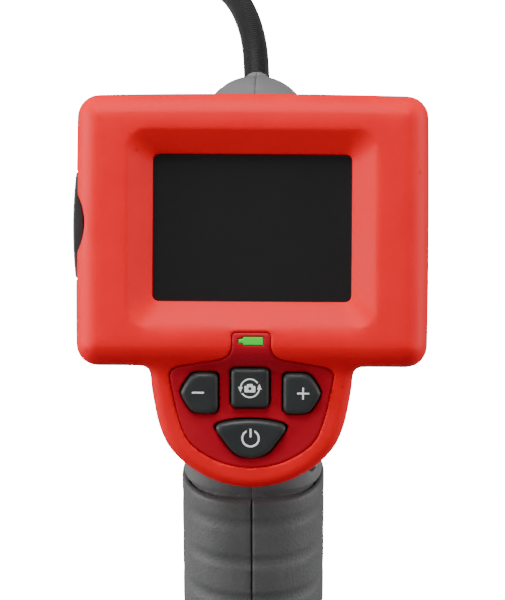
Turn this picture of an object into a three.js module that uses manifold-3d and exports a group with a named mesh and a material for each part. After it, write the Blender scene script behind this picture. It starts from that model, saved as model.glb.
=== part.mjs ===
// Handheld inspection camera: a pistol grip with a tilted display head and a semi-rigid camera cable.
// Millimetres, +Z up. The origin is the centre of the flat foot. The display faces -Y and tilts upward;
// the cable leaves the nose toward +Y.
import * as THREE from 'three';
import { mergeVertices } from 'three/addons/utils/BufferGeometryUtils.js';
import Module from 'manifold-3d';

const wasm = await Module();
wasm.setup();

// ---- Driving dimensions ------------------------------------------------------------------------
const GAP = 0.3; // clearance between neighbouring pieces
const WALL = 2.2; // moulded wall thickness

const HEAD = { y: -12, z: 164, tilt: THREE.MathUtils.degToRad(22) }; // centre of the display's front
const BEZEL = { halfWidth: 44.9, top: 34.2, bottom: -35, depth: 18, corner: 5.5, edge: 4.5 };
const RECESS = { halfWidth: 31.8, top: 25, bottom: -25.6, depth: 4.5, corner: 2 };
const SCREEN = { halfWidth: 25.25, halfHeight: 18.7, corner: 1.5 };
const KEYPAD = { y: -34.7, depth: 5, tilt: THREE.MathUtils.degToRad(9), length: 32.5, edge: 2.5 };
const PANEL = { thickness: 0.8, pocket: 1.1 };
const BUTTON = { proud: 1.7, stem: 4.6, travel: 0.8, bevel: 0.5 };
const PORT = { y: 0.5, halfHeight: 13.85, front: 4.8, back: 16.4, pocket: 2.3, bulge: 0.8, depth: 11 };
const PORT_HINGE_GAP = 0.6; // room behind the cover for its back edge to swing through
const SCOOP = { y: 0.9, radius: 14.5, depth: 2.4 };

const REAR = { inset: 0.6, depth: 36, edge: 8 };
const HANDLE = { halfWidth: 18.9, halfDepth: 21, top: 91, bottom: 8.4, squareness: 2.7 };
const CORE = { halfWidth: 16.9, halfDepth: 18.9, bottom: 9.4, top: 150 };
const RIB = { pitch: 11, first: 86.5, height: 3.8, depth: 0.7, count: 7 };
const BAY = { half: 15.4, corner: 8, top: 66, partition: 2.5 };
const BARREL = { radius: 15, y: 26.7, depth: 40, rise: THREE.MathUtils.degToRad(22), back: 30 };
const NECK = { radius: 3.75, end: 21.2, bore: 2.9 };

const CABLE = { radius: 3.55, core: 2.6, pitch: 7.4, sides: 10 };
const COIL = { x: -66, y: -6, radius: 36.5, lift: 1.2 };
const TIE = { thickness: 0.9, width: 9, angles: [45, 225] };
const IMAGER = { radius: 8.5, length: 26, y: -43, start: -3, ferrule: 8 };

const CAP = { height: 8, floor: 2.5 };
const CELL = { radius: 7.1, length: 49.5, nub: 2.7, nubHeight: 1, offset: 7.75, bottom: 11 };
const LATCH = { halfWidth: 6, low: 2, high: 7, proud: 0.5, inner: 15.2 };
const SCREW = { shaft: 1, head: 2.2, headHeight: 1.6, boss: 3 };

// ---- Materials ---------------------------------------------------------------------------------
function material(color, roughness, metalness = 0) {
  return () => new THREE.MeshStandardMaterial({ color, roughness, metalness });
}
const RED_ABS = material(0xd42a26, 0.45);
const PANEL_RED = material(0xb01c20, 0.4);
const GREY_ABS = material(0x6f7173, 0.5);
const GREY_RUBBER = material(0x57595b, 0.75);
const BLACK_RUBBER = material(0x2b2d2f, 0.6);
const BLACK_GLASS = material(0x0c0c0d, 0.08);
const BLACK_ABS = material(0x1f2021, 0.5);
const FOAM = material(0x262626, 0.95);
const GREEN_LENS = material(0x62c04a, 0.3);
const BOARD_GREEN = material(0x1c5a34, 0.5);
const STEEL = material(0xa9adb0, 0.35, 1);
const BRASS = material(0xc2a04f, 0.35, 1);
const CABLE_SHEATH = material(0x33363a, 0.7);
const CELL_SLEEVE = material(0x2f5f3c, 0.4);
const CLEAR_LENS = material(0xdfe6ea, 0.1);

// ---- Helpers -----------------------------------------------------------------------------------
function solid(geometry) {
  const bare = geometry.clone();
  bare.deleteAttribute('normal');
  bare.deleteAttribute('uv');
  const merged = mergeVertices(bare, 1e-4);
  const vertProperties = new Float32Array(merged.attributes.position.array);
  const triVerts = new Uint32Array(merged.index.array);
  return new wasm.Manifold(new wasm.Mesh({ numProp: 3, vertProperties, triVerts }));
}

function geometryOf(manifold) {
  const data = manifold.getMesh();
  const geometry = new THREE.BufferGeometry();
  geometry.setAttribute('position', new THREE.BufferAttribute(data.vertProperties, 3));
  geometry.setIndex(new THREE.BufferAttribute(data.triVerts, 1));
  geometry.computeVertexNormals();
  return geometry;
}

function union(...solids) {
  return solids.reduce((a, b) => a.add(b));
}

function cut(base, ...tools) {
  return tools.reduce((a, b) => a.subtract(b), base);
}

function addMesh(parent, name, shape, makeMaterial) {
  const geometry = shape instanceof THREE.BufferGeometry ? shape : geometryOf(shape);
  const mesh = new THREE.Mesh(geometry, makeMaterial());
  mesh.name = name;
  parent.add(mesh);
  return mesh;
}

function roundedRect(x0, y0, x1, y1, r) {
  const shape = new THREE.Shape();
  shape.moveTo(x0 + r, y0);
  shape.lineTo(x1 - r, y0);
  shape.absarc(x1 - r, y0 + r, r, -Math.PI / 2, 0, false);
  shape.lineTo(x1, y1 - r);
  shape.absarc(x1 - r, y1 - r, r, 0, Math.PI / 2, false);
  shape.lineTo(x0 + r, y1);
  shape.absarc(x0 + r, y1 - r, r, Math.PI / 2, Math.PI, false);
  shape.lineTo(x0, y0 + r);
  shape.absarc(x0 + r, y0 + r, r, Math.PI, 1.5 * Math.PI, false);
  return shape;
}

function centredRect(halfWidth, halfHeight, r) {
  return roundedRect(-halfWidth, -halfHeight, halfWidth, halfHeight, r);
}

function slab(shape, z0, z1, curveSegments = 4) {
  const geometry = new THREE.ExtrudeGeometry(shape, { depth: z1 - z0, bevelEnabled: false, curveSegments });
  return geometry.translate(0, 0, z0);
}

// A solid through outlines of equal point count, each { z, points }.
function loft(sections) {
  const count = sections[0].points.length;
  const positions = [];
  const indices = [];
  for (const { z, points } of sections) {
    for (const p of points) positions.push(p.x, p.y, z);
  }
  for (let s = 0; s < sections.length - 1; s += 1) {
    for (let i = 0; i < count; i += 1) {
      const a = s * count + i;
      const b = s * count + ((i + 1) % count);
      indices.push(a, b, b + count, a, b + count, a + count);
    }
  }
  const top = (sections.length - 1) * count;
  for (const [i, j, k] of THREE.ShapeUtils.triangulateShape(sections[0].points, [])) {
    indices.push(i, k, j, top + i, top + j, top + k);
  }
  const geometry = new THREE.BufferGeometry();
  geometry.setAttribute('position', new THREE.Float32BufferAttribute(positions, 3));
  geometry.setIndex(indices);
  geometry.computeVertexNormals();
  return geometry;
}

function shapePoints(shape, divisions = 4) {
  const all = shape.getPoints(divisions);
  const points = all.filter((p, i) => p.distanceTo(all[(i + all.length - 1) % all.length]) > 1e-4);
  if (THREE.ShapeUtils.isClockWise(points)) points.reverse();
  return points;
}

// A prism from z0 to z1 whose far edge, at z1, is rounded. `outline` gives its shape for an inset.
function roundedBlock(outline, z0, z1, edge, steps = 3, divisions = 3) {
  const sections = [{ z: z0, points: shapePoints(outline(0), divisions) }];
  for (let i = 0; i <= steps; i += 1) {
    const angle = (i * Math.PI) / 2 / steps;
    const inset = edge * (1 - Math.cos(angle));
    const z = z1 - edge * (1 - Math.sin(angle));
    sections.push({ z, points: shapePoints(outline(inset), divisions) });
  }
  return loft(sections);
}

function superellipse(halfWidth, halfDepth, sides = 28) {
  const power = 2 / HANDLE.squareness;
  const points = [];
  for (let i = 0; i < sides; i += 1) {
    const angle = (2 * Math.PI * i) / sides;
    const c = Math.cos(angle);
    const s = Math.sin(angle);
    const x = halfWidth * Math.sign(c) * Math.abs(c) ** power;
    const y = halfDepth * Math.sign(s) * Math.abs(s) ** power;
    points.push(new THREE.Vector2(x, y));
  }
  return points;
}

function cylinder(r0, r1, z0, z1, sides = 16) {
  const geometry = new THREE.CylinderGeometry(r1, r0, z1 - z0, sides);
  return geometry.rotateX(Math.PI / 2).translate(0, 0, (z0 + z1) / 2);
}

function box(x0, x1, y0, y1, z0, z1) {
  const geometry = new THREE.BoxGeometry(x1 - x0, y1 - y0, z1 - z0);
  return geometry.translate((x0 + x1) / 2, (y0 + y1) / 2, (z0 + z1) / 2);
}

// ---- Frames: the head's (x right, y up the display, z out of it) and the keypad's on its tongue ---
const headMatrix = new THREE.Matrix4()
  .makeRotationX(Math.PI / 2 - HEAD.tilt)
  .setPosition(0, HEAD.y, HEAD.z);
const keypadMatrix = new THREE.Matrix4()
  .makeRotationX(KEYPAD.tilt)
  .setPosition(0, KEYPAD.y, -KEYPAD.depth);

function group(matrix) {
  const made = new THREE.Group();
  made.applyMatrix4(matrix);
  return made;
}

const camera = new THREE.Group();
const head = group(headMatrix);
const keypad = group(keypadMatrix);
head.add(keypad);
camera.add(head);

// ---- Outlines ----------------------------------------------------------------------------------
function bezelOutline(inset = 0) {
  const half = BEZEL.halfWidth - inset;
  const radius = Math.max(BEZEL.corner - inset, 1);
  return roundedRect(-half, BEZEL.bottom + inset, half, BEZEL.top - inset, radius);
}

// The tongue below the display, in the keypad's frame: straight flanks, round corners, a round foot.
function tongueOutline(inset = 0) {
  const footRadius = 26.5;
  const footCentre = -KEYPAD.length + footRadius;
  const sweep = THREE.MathUtils.degToRad(47);
  const r = footRadius - inset;
  const x = r * Math.sin(sweep);
  const y = footCentre - r * Math.cos(sweep);
  const shape = new THREE.Shape();
  shape.moveTo(-27.2 + inset, 4);
  shape.lineTo(-26.8 + inset, -1.5);
  shape.lineTo(-24.6 + inset, -13.8);
  shape.quadraticCurveTo(-23.4 + inset, -19.3 + inset / 2, -x, y);
  shape.absarc(0, footCentre, r, 1.5 * Math.PI - sweep, 1.5 * Math.PI + sweep, false);
  shape.quadraticCurveTo(23.4 - inset, -19.3 + inset / 2, 24.6 - inset, -13.8);
  shape.lineTo(26.8 - inset, -1.5);
  shape.lineTo(27.2 - inset, 4);
  return shape;
}

// The inset panel round the buttons, in the head's frame: a tab above, flared shoulders, a round foot.
function panelOutline(inset = 0) {
  const shape = new THREE.Shape();
  const half = 5.05 - inset;
  shape.moveTo(-half + 1, -26.4 - inset);
  shape.quadraticCurveTo(-half, -26.4 - inset, -half, -27.6 - inset);
  shape.lineTo(-half, -31.2);
  shape.quadraticCurveTo(-half, -33.3, -8.6, -34.1 - inset);
  shape.lineTo(-16.4, -35.4 - inset);
  shape.quadraticCurveTo(-20.6 + inset, -35.6 - inset, -20.2 + inset, -39.4);
  shape.lineTo(-17.6 + inset, -51.6);
  shape.quadraticCurveTo(-14.4 + inset, -61.1 + inset, 0, -61.1 + inset);
  shape.quadraticCurveTo(14.4 - inset, -61.1 + inset, 17.6 - inset, -51.6);
  shape.lineTo(20.2 - inset, -39.4);
  shape.quadraticCurveTo(20.6 - inset, -35.6 - inset, 16.4, -35.4 - inset);
  shape.lineTo(8.6, -34.1 - inset);
  shape.quadraticCurveTo(half, -33.3, half, -31.2);
  shape.lineTo(half, -27.6 - inset);
  shape.quadraticCurveTo(half, -26.4 - inset, half - 1, -26.4 - inset);
  return shape;
}

// Button outlines about their own centres.
function arrowKey(inset = 0) {
  const right = 5 - inset;
  const top = 5.3 - inset;
  const tip = 5 - inset;
  const shape = new THREE.Shape();
  shape.moveTo(right, -top + 0.9);
  shape.lineTo(right, top - 0.9);
  shape.quadraticCurveTo(right, top, right - 0.9, top);
  shape.lineTo(-1.3, top);
  shape.quadraticCurveTo(-1.9, top, -2.3 + inset / 3, top - 0.6);
  shape.lineTo(-tip, 0.8);
  shape.quadraticCurveTo(-tip - 0.5, 0, -tip, -0.8);
  shape.lineTo(-2.3 + inset / 3, -top + 0.6);
  shape.quadraticCurveTo(-1.9, -top, -1.3, -top);
  shape.lineTo(right - 0.9, -top);
  shape.quadraticCurveTo(right, -top, right, -top + 0.9);
  return shape;
}

function squareKey(inset = 0) {
  return centredRect(5.15 - inset, 5.25 - inset, 1.4);
}

function pickKey(inset = 0) {
  const foot = 5.1 - inset;
  const shape = new THREE.Shape();
  shape.moveTo(-7.9, 3.8 - inset);
  shape.quadraticCurveTo(-9.6 + inset, 3.4, -8.7 + inset, 1.4);
  shape.lineTo(-5.2 + inset, -3.4);
  shape.quadraticCurveTo(-3.6, -foot, 0, -foot);
  shape.quadraticCurveTo(3.6, -foot, 5.2 - inset, -3.4);
  shape.lineTo(8.7 - inset, 1.4);
  shape.quadraticCurveTo(9.6 - inset, 3.4, 7.9, 3.8 - inset);
  shape.quadraticCurveTo(0, 6 - inset, -7.9, 3.8 - inset);
  return shape;
}

const BUTTONS = [
  { name: 'minus', x: -13.2, y: -6.95, outline: arrowKey, mirrored: false },
  { name: 'plus', x: 12.9, y: -6.95, outline: arrowKey, mirrored: true },
  { name: 'rotate', x: -0.3, y: -5.6, outline: squareKey, mirrored: false },
  { name: 'power', x: -0.1, y: -18.6, outline: pickKey, mirrored: false },
];

function keyHole({ x, y, outline, mirrored }, clearance, z0, z1) {
  const prism = slab(outline(-clearance), z0, z1, 3);
  if (mirrored) prism.rotateZ(Math.PI);
  return prism.translate(x, y, 0);
}

// ---- Display head ------------------------------------------------------------------------------
function outerBezel() {
  const block = roundedBlock(bezelOutline, -BEZEL.depth, 0, BEZEL.edge);
  const tongue = roundedBlock(tongueOutline, -2 * BEZEL.depth, 0, KEYPAD.edge);
  const front = solid(box(-60, 60, -90, 60, -BEZEL.depth, 5));
  return solid(block).add(solid(tongue.applyMatrix4(keypadMatrix)).intersect(front));
}

function recess() {
  const outer = roundedRect(-RECESS.halfWidth, RECESS.bottom, RECESS.halfWidth, RECESS.top, RECESS.corner);
  const inner = centredRect(SCREEN.halfWidth, SCREEN.halfHeight, SCREEN.corner);
  return solid(loft([
    { z: -RECESS.depth, points: shapePoints(inner, 3) },
    { z: 0.01, points: shapePoints(outer, 3) },
  ]));
}

function bezelCavity() {
  const space = solid(slab(bezelOutline(2.5), -BEZEL.depth - 1, -2.5, 3));
  const lip = { outer: 2.6, back: 6 };
  const outer = roundedRect(
    -RECESS.halfWidth - lip.outer,
    RECESS.bottom - lip.outer,
    RECESS.halfWidth + lip.outer,
    RECESS.top + lip.outer,
    RECESS.corner,
  );
  const inner = centredRect(SCREEN.halfWidth + lip.outer, SCREEN.halfHeight + lip.outer, SCREEN.corner);
  const rim = solid(loft([
    { z: -lip.back, points: shapePoints(inner, 3) },
    { z: -2, points: shapePoints(outer, 3) },
  ]));
  const tongueSpace = slab(tongueOutline(2.4), -2 * BEZEL.depth, -3.4, 3).applyMatrix4(keypadMatrix);
  return space.subtract(rim).add(solid(tongueSpace));
}

const BEZEL_SCREWS = [[-38, 27.5], [38, 27.5], [-38, -27.5], [38, -27.5]];

function bezelBosses() {
  return BEZEL_SCREWS.map(([x, y]) => {
    return solid(cylinder(SCREW.boss, SCREW.boss, -BEZEL.depth, -2, 10).translate(x, y, 0));
  });
}

function bezelScrewHoles(radius, from, to) {
  return BEZEL_SCREWS.map(([x, y]) => solid(cylinder(radius, radius, from, to, 10).translate(x, y, 0)));
}

function portPocket() {
  const side = -BEZEL.halfWidth;
  const low = PORT.y - PORT.halfHeight;
  const high = PORT.y + PORT.halfHeight;
  const pocket = solid(box(side - 5, side + PORT.pocket, low, high, -PORT.back, -PORT.front));
  const backing = solid(box(side + 1, side + 4.6, low - 1.5, high + 1.5, -BEZEL.depth, -3));
  const hole = cylinder(3, 3, -10, 10, 12).rotateY(Math.PI / 2).translate(side, PORT.y, -PORT.depth);
  const scoopCentre = side + SCOOP.depth - SCOOP.radius;
  const scoop = cylinder(SCOOP.radius, SCOOP.radius, -PORT.front - 0.5, 2, 48);
  return { pocket, backing, hole: solid(hole), scoop: solid(scoop.translate(scoopCentre, SCOOP.y, 0)) };
}

function buildBezel() {
  const outer = outerBezel();
  const port = portPocket();
  const shell = union(cut(outer, bezelCavity()), ...bezelBosses(), port.backing.intersect(outer));
  const opening = slab(centredRect(SCREEN.halfWidth, SCREEN.halfHeight, SCREEN.corner), -8, -4, 3);
  const pocket = cut(solid(slab(panelOutline(), -20, 5, 5)), outer.translate(0, 0, -PANEL.pocket));
  const keyHoles = BUTTONS.map((key) => {
    return solid(keyHole(key, 0.35, -8, 6).applyMatrix4(keypadMatrix));
  });
  const lensHole = solid(slab(roundedRect(-3.5, -29.9, 3.3, -27.4, 0.5), -6, 4, 2));
  const bezel = cut(
    shell,
    recess(),
    solid(opening),
    pocket,
    ...keyHoles,
    lensHole,
    port.pocket,
    port.hole,
    port.scoop,
    ...bezelScrewHoles(SCREW.shaft + 0.35, -BEZEL.depth - 1, -8.5),
  );
  addMesh(head, 'bezel', bezel, RED_ABS);

  const raised = solid(slab(panelOutline(GAP), -20, 5, 5)).intersect(outer);
  const panel = cut(raised, outer.translate(0, 0, -PANEL.thickness), ...keyHoles, lensHole);
  addMesh(head, 'button_panel', panel, PANEL_RED);
}

function buildKeys() {
  for (const key of BUTTONS) {
    const cap = roundedBlock(key.outline, -BUTTON.stem, BUTTON.proud, BUTTON.bevel, 1);
    if (key.mirrored) cap.rotateZ(Math.PI);
    const mesh = addMesh(keypad, `${key.name}_button`, cap, BLACK_RUBBER);
    mesh.position.set(key.x, key.y, 0);
    const body = box(-3, 3, -3, 3, -9, -7);
    const plunger = cylinder(1.6, 1.6, -7.5, -BUTTON.stem - BUTTON.travel - GAP, 10);
    const base = addMesh(keypad, `${key.name}_switch`, union(solid(body), solid(plunger)), BLACK_ABS);
    base.position.set(key.x, key.y, 0);
  }
  const board = tongueOutline(4);
  const trimmed = solid(slab(board, -10.6, -9.3, 3)).subtract(solid(box(-40, 40, -2.2, 20, -20, 20)));
  addMesh(keypad, 'keypad_board', trimmed, BOARD_GREEN);
}

function buildDisplay() {
  const lens = slab(roundedRect(-3.2, -29.6, 3, -27.7, 0.4), -5, -0.1, 2);
  addMesh(head, 'battery_indicator', lens, GREEN_LENS);
  addMesh(head, 'status_led', box(-2, 1.8, -29.4, -27.9, -8, -5.4), CLEAR_LENS);

  addMesh(head, 'screen_window', slab(centredRect(27.2, 20.7, 1.5), -7.8, -6.3, 3), BLACK_GLASS);
  const seal = centredRect(27.2, 20.7, 1.5);
  seal.holes.push(centredRect(25.4, 18.9, 1));
  addMesh(head, 'window_gasket', slab(seal, -8.8, -8.1, 3), FOAM);
  addMesh(head, 'lcd_module', box(-29.5, 29.5, -21.5, 21.5, -11.7, -9.1), BLACK_ABS);
  addMesh(head, 'lcd_frame', box(-30.5, 30.5, -22.5, 22.5, -13.1, -12), STEEL);

  const board = roundedRect(-34, -30, 34, 30, 2);
  addMesh(head, 'main_board', slab(board, -16.6, -15, 2), BOARD_GREEN);

  const jackBody = solid(box(-39.6, -31, PORT.y - 4, PORT.y + 4, -14.6, -7.4));
  const jackHole = cylinder(1.8, 1.8, -6, 2, 12).rotateY(Math.PI / 2).translate(-39.6, PORT.y, -PORT.depth);
  addMesh(head, 'tv_out_jack', cut(jackBody, solid(jackHole)), BLACK_ABS);
}

function buildPortCover() {
  const side = -BEZEL.halfWidth;
  const inner = side + PORT.pocket - GAP;
  const halfHeight = PORT.halfHeight - GAP;
  const outline = new THREE.Shape();
  outline.moveTo(inner, -halfHeight);
  outline.lineTo(inner, halfHeight);
  outline.lineTo(side, halfHeight);
  outline.quadraticCurveTo(side - 2 * PORT.bulge, 0, side, -halfHeight);
  const cover = slab(outline, -PORT.back + PORT_HINGE_GAP, -PORT.front - GAP, 8);
  addMesh(head, 'port_cover', cover.translate(0, PORT.y, 0), BLACK_RUBBER);
}

// ---- Grey housing, in the world's frame ----------------------------------------------------------
const barrelMatrix = new THREE.Matrix4();
{
  const centre = new THREE.Vector3(0, BARREL.y, -BARREL.depth).applyMatrix4(headMatrix);
  barrelMatrix.makeRotationX(-(Math.PI / 2 - BARREL.rise)).setPosition(centre);
}

function barrelSolid(radius, neckRadius, back, neckEnd, segments = 28) {
  const steps = 6;
  const profile = [new THREE.Vector2(0, -back), new THREE.Vector2(radius, -back)];
  const stop = Math.acos((neckRadius + 1.2) / radius);
  for (let i = 0; i <= steps; i += 1) {
    const angle = (stop * i) / steps;
    profile.push(new THREE.Vector2(radius * Math.cos(angle), radius * Math.sin(angle)));
  }
  profile.push(new THREE.Vector2(neckRadius, radius + 1.2));
  profile.push(new THREE.Vector2(neckRadius, neckEnd));
  profile.push(new THREE.Vector2(0, neckEnd));
  const lathe = new THREE.LatheGeometry(profile, segments);
  return lathe.rotateX(Math.PI / 2).applyMatrix4(barrelMatrix);
}

function column(halfWidth, halfDepth, z0, z1) {
  const points = superellipse(halfWidth, halfDepth);
  return loft([{ z: z0, points }, { z: z1, points }]);
}

// A block behind the display, from depth `front` to depth `back`, where its edge is rounded.
function rearBlock(outline, matrix, front, back, edge) {
  const mirrored = (inset) => {
    const points = shapePoints(outline(inset), 3).map((p) => new THREE.Vector2(-p.x, p.y));
    return new THREE.Shape(points);
  };
  const block = roundedBlock(mirrored, front, back, edge).rotateY(Math.PI);
  return solid(block.applyMatrix4(matrix));
}

function headSpace(inset, back) {
  const outline = (more) => bezelOutline(inset + more);
  return rearBlock(outline, headMatrix, BEZEL.depth - 2, back, REAR.edge - inset);
}

function shoulderSpace(inset, back) {
  const placed = new THREE.Matrix4().multiplyMatrices(headMatrix, keypadMatrix);
  return rearBlock((more) => tongueOutline(inset + more), placed, 8, back, 3);
}

const HANDLE_SCREWS = [[-10, 98], [10, 98], [10, 122]];

function handleScrewPrism(radius, x0, x1) {
  return HANDLE_SCREWS.map(([y, z]) => {
    return solid(cylinder(radius, radius, x0, x1, 10).rotateY(Math.PI / 2).translate(0, y, z));
  });
}

function housingOuter() {
  const body = union(
    headSpace(REAR.inset, REAR.depth),
    shoulderSpace(1.6, 21),
    solid(column(CORE.halfWidth, CORE.halfDepth, CORE.bottom, CORE.top)),
    solid(barrelSolid(BARREL.radius, NECK.radius, BARREL.back, NECK.end)),
  );
  const front = box(-100, 100, -200, 100, -300, -BEZEL.depth - GAP).applyMatrix4(headMatrix);
  return body.intersect(solid(front));
}

function housingCavity() {
  const neck = column(CORE.halfWidth - WALL, CORE.halfDepth - WALL, BAY.top + BAY.partition, CORE.top - 4);
  const bay = slab(centredRect(BAY.half, BAY.half, BAY.corner), 0, BAY.top, 4);
  const hollowRadius = BARREL.radius - WALL;
  const hollow = barrelSolid(hollowRadius, NECK.bore, BARREL.back - 4, hollowRadius + 3, 20);
  const bore = cylinder(NECK.bore, NECK.bore, 5, NECK.end + 2, 12).applyMatrix4(barrelMatrix);
  return union(
    headSpace(REAR.inset + WALL, REAR.depth - WALL),
    shoulderSpace(4, 18.6),
    solid(neck),
    solid(bay),
    solid(hollow),
    solid(bore),
  );
}

function rearBosses() {
  return BEZEL_SCREWS.map(([x, y]) => {
    const boss = cylinder(SCREW.boss, SCREW.boss, -REAR.depth + 2, -BEZEL.depth - GAP, 10);
    return solid(boss.translate(x, y, 0).applyMatrix4(headMatrix));
  });
}

function rearScrewHoles() {
  return BEZEL_SCREWS.flatMap(([x, y]) => [
    solid(cylinder(1.4, 1.4, -40, -10, 10).translate(x, y, 0).applyMatrix4(headMatrix)),
    solid(cylinder(2.6, 2.6, -40, -24, 10).translate(x, y, 0).applyMatrix4(headMatrix)),
  ]);
}

function buildHousing() {
  const outer = housingOuter();
  const bosses = union(...rearBosses(), ...handleScrewPrism(SCREW.boss, -17, 17)).intersect(outer);
  const body = cut(
    outer.subtract(housingCavity()).add(bosses),
    ...rearScrewHoles(),
    ...handleScrewPrism(1.4, -8, 8),
    ...handleScrewPrism(2.6, 5, 30),
  );
  const halves = { housing_left: box(-200, -GAP / 2, -200, 200, -50, 300) };
  halves.housing_right = box(GAP / 2, 200, -200, 200, -50, 300);
  for (const [name, half] of Object.entries(halves)) {
    addMesh(camera, name, body.intersect(solid(half)), GREY_ABS);
  }
}

// ---- Rubber grips: two ribbed shells round the handle --------------------------------------------
function gripOuter() {
  const sections = [];
  const ring = (z, inset) => {
    const points = superellipse(HANDLE.halfWidth - inset, HANDLE.halfDepth - inset);
    sections.push({ z, points });
  };
  ring(HANDLE.bottom, 0.3);
  for (let i = RIB.count - 1; i >= 0; i -= 1) {
    const high = RIB.first - i * RIB.pitch;
    const low = high - RIB.height;
    ring(low, 0.1);
    ring((low + high) / 2, RIB.depth);
    ring(high, 0.1);
  }
  ring(HANDLE.top - 1, 0.2);
  ring(HANDLE.top, 1);
  return solid(loft(sections));
}

function buildGrips() {
  const hollow = column(CORE.halfWidth + GAP, CORE.halfDepth + GAP, 0, HANDLE.top + 5);
  const shell = gripOuter().subtract(solid(hollow));
  const left = box(-200, -GAP / 2, -200, 200, -50, 300);
  const right = box(GAP / 2, 200, -200, 200, -50, 300);
  addMesh(camera, 'grip_left', shell.intersect(solid(left)), GREY_RUBBER);
  addMesh(camera, 'grip_right', shell.intersect(solid(right)), GREY_RUBBER);
}

// ---- Fasteners -----------------------------------------------------------------------------------
function screwSolid(length) {
  const shaft = cylinder(SCREW.shaft, SCREW.shaft, -length, 0.2, 10);
  const cap = cylinder(SCREW.head, SCREW.head, 0, SCREW.headHeight, 10);
  const drive = box(-1.5, 1.5, -0.35, 0.35, 0.9, 3);
  return union(solid(shaft), solid(cap)).subtract(solid(drive));
}

function buildScrews() {
  HANDLE_SCREWS.forEach(([y, z], i) => {
    const screw = addMesh(camera, `handle_screw_${i + 1}`, screwSolid(11), STEEL);
    screw.rotation.y = Math.PI / 2;
    screw.position.set(5 + GAP, y, z);
  });
  BEZEL_SCREWS.forEach(([x, y], i) => {
    const screw = addMesh(head, `bezel_screw_${i + 1}`, screwSolid(14), STEEL);
    screw.rotation.x = Math.PI;
    screw.position.set(x, y, -24 - GAP);
  });
}

// ---- Battery drawer: cap, tray, seal, cells, contacts and latches --------------------------------
function buildBatteryCap() {
  const points = superellipse(HANDLE.halfWidth, HANDLE.halfDepth);
  const sole = superellipse(HANDLE.halfWidth - 1, HANDLE.halfDepth - 1);
  const outer = solid(loft([{ z: 0, points: sole }, { z: 1, points }, { z: CAP.height, points }]));
  const inside = column(HANDLE.halfWidth - WALL, HANDLE.halfDepth - WALL, CAP.floor, CAP.height + 1);
  const half = LATCH.halfWidth + GAP;
  const window = box(-30, 30, -half, half, LATCH.low - GAP, LATCH.high + GAP);
  const posts = box(-5, 5, -12, 12, CAP.floor - 0.5, CAP.height);
  const hollow = cut(outer, solid(inside), solid(window));
  const floor = solid(box(-15, 15, -15, 15, 0.5, CAP.floor));
  addMesh(camera, 'battery_cap', union(hollow, floor, solid(posts)), BLACK_ABS);
}

function buildLatch(name, side) {
  const tab = box(LATCH.inner, HANDLE.halfWidth + LATCH.proud, -LATCH.halfWidth, LATCH.halfWidth,
    CAP.floor + GAP, LATCH.high);
  const foot = box(9, LATCH.inner + 1, -LATCH.halfWidth + 1.5, LATCH.halfWidth - 1.5, CAP.floor + GAP, 5);
  const latch = addMesh(camera, name, union(solid(tab), solid(foot)), GREY_ABS);
  if (side < 0) latch.rotation.z = Math.PI;
}

function buildSeal() {
  const ring = new THREE.Shape(superellipse(CORE.halfWidth, CORE.halfDepth));
  ring.holes.push(new THREE.Path(superellipse(CORE.halfWidth - 1.4, CORE.halfDepth - 1.4)));
  addMesh(camera, 'cap_seal', slab(ring, CAP.height + GAP, CORE.bottom - GAP), FOAM);
}

function buildTray() {
  const half = BAY.half - 0.5;
  const corner = BAY.corner;
  const low = CELL.bottom - GAP;
  const high = CELL.bottom + CELL.length + CELL.nubHeight + 1.2;
  const foot = solid(box(-10, 10, -12, 12, CAP.height + GAP, CORE.bottom + 0.5));
  const base = solid(slab(centredRect(half, half, corner), CORE.bottom, low, 3));
  const webs = union(
    solid(box(-0.35, 0.35, -half, half, CORE.bottom, high)),
    solid(box(-half, half, -0.35, 0.35, CORE.bottom, high)),
  );
  const lid = solid(slab(centredRect(half, half, corner), high - 0.1, high + 1, 3));
  const holes = cellPlaces().map(([x, y]) => {
    return solid(cylinder(3, 3, high - 1, high + 2, 10).translate(x, y, 0));
  });
  addMesh(camera, 'battery_tray', cut(union(foot, base, webs, lid), ...holes), BLACK_ABS);
}

function cellPlaces() {
  const o = CELL.offset;
  return [[-o, -o], [o, -o], [o, o], [-o, o]];
}

function buildCells() {
  const can = cylinder(CELL.radius, CELL.radius, 0, CELL.length, 16);
  const nub = cylinder(CELL.nub, CELL.nub, CELL.length - 0.5, CELL.length + CELL.nubHeight, 10);
  const cell = geometryOf(union(solid(can), solid(nub)));
  cellPlaces().forEach(([x, y], i) => {
    const mesh = addMesh(camera, `cell_${i + 1}`, cell.clone(), CELL_SLEEVE);
    mesh.position.set(x, y, CELL.bottom);
    if (i % 2 === 1) {
      mesh.rotation.x = Math.PI;
      mesh.position.z = CELL.bottom + CELL.length + CELL.nubHeight;
    }
  });
}

// Each contact bridges two cells, with a spring bump over either one.
function buildContacts() {
  const top = BAY.top - GAP;
  for (const [name, side] of [['bay_contact_1', -1], ['bay_contact_2', 1]]) {
    const x = side * CELL.offset;
    const bumps = [-CELL.offset, CELL.offset].map((y) => {
      return solid(cylinder(1.2, 2.2, CELL.bottom + CELL.length + 1.6, top - 0.3, 10).translate(x, y, 0));
    });
    const plate = solid(box(x - 2.5, x + 2.5, -10, 10, top - 0.6, top));
    addMesh(camera, name, union(plate, ...bumps), BRASS);
  }
}

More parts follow.
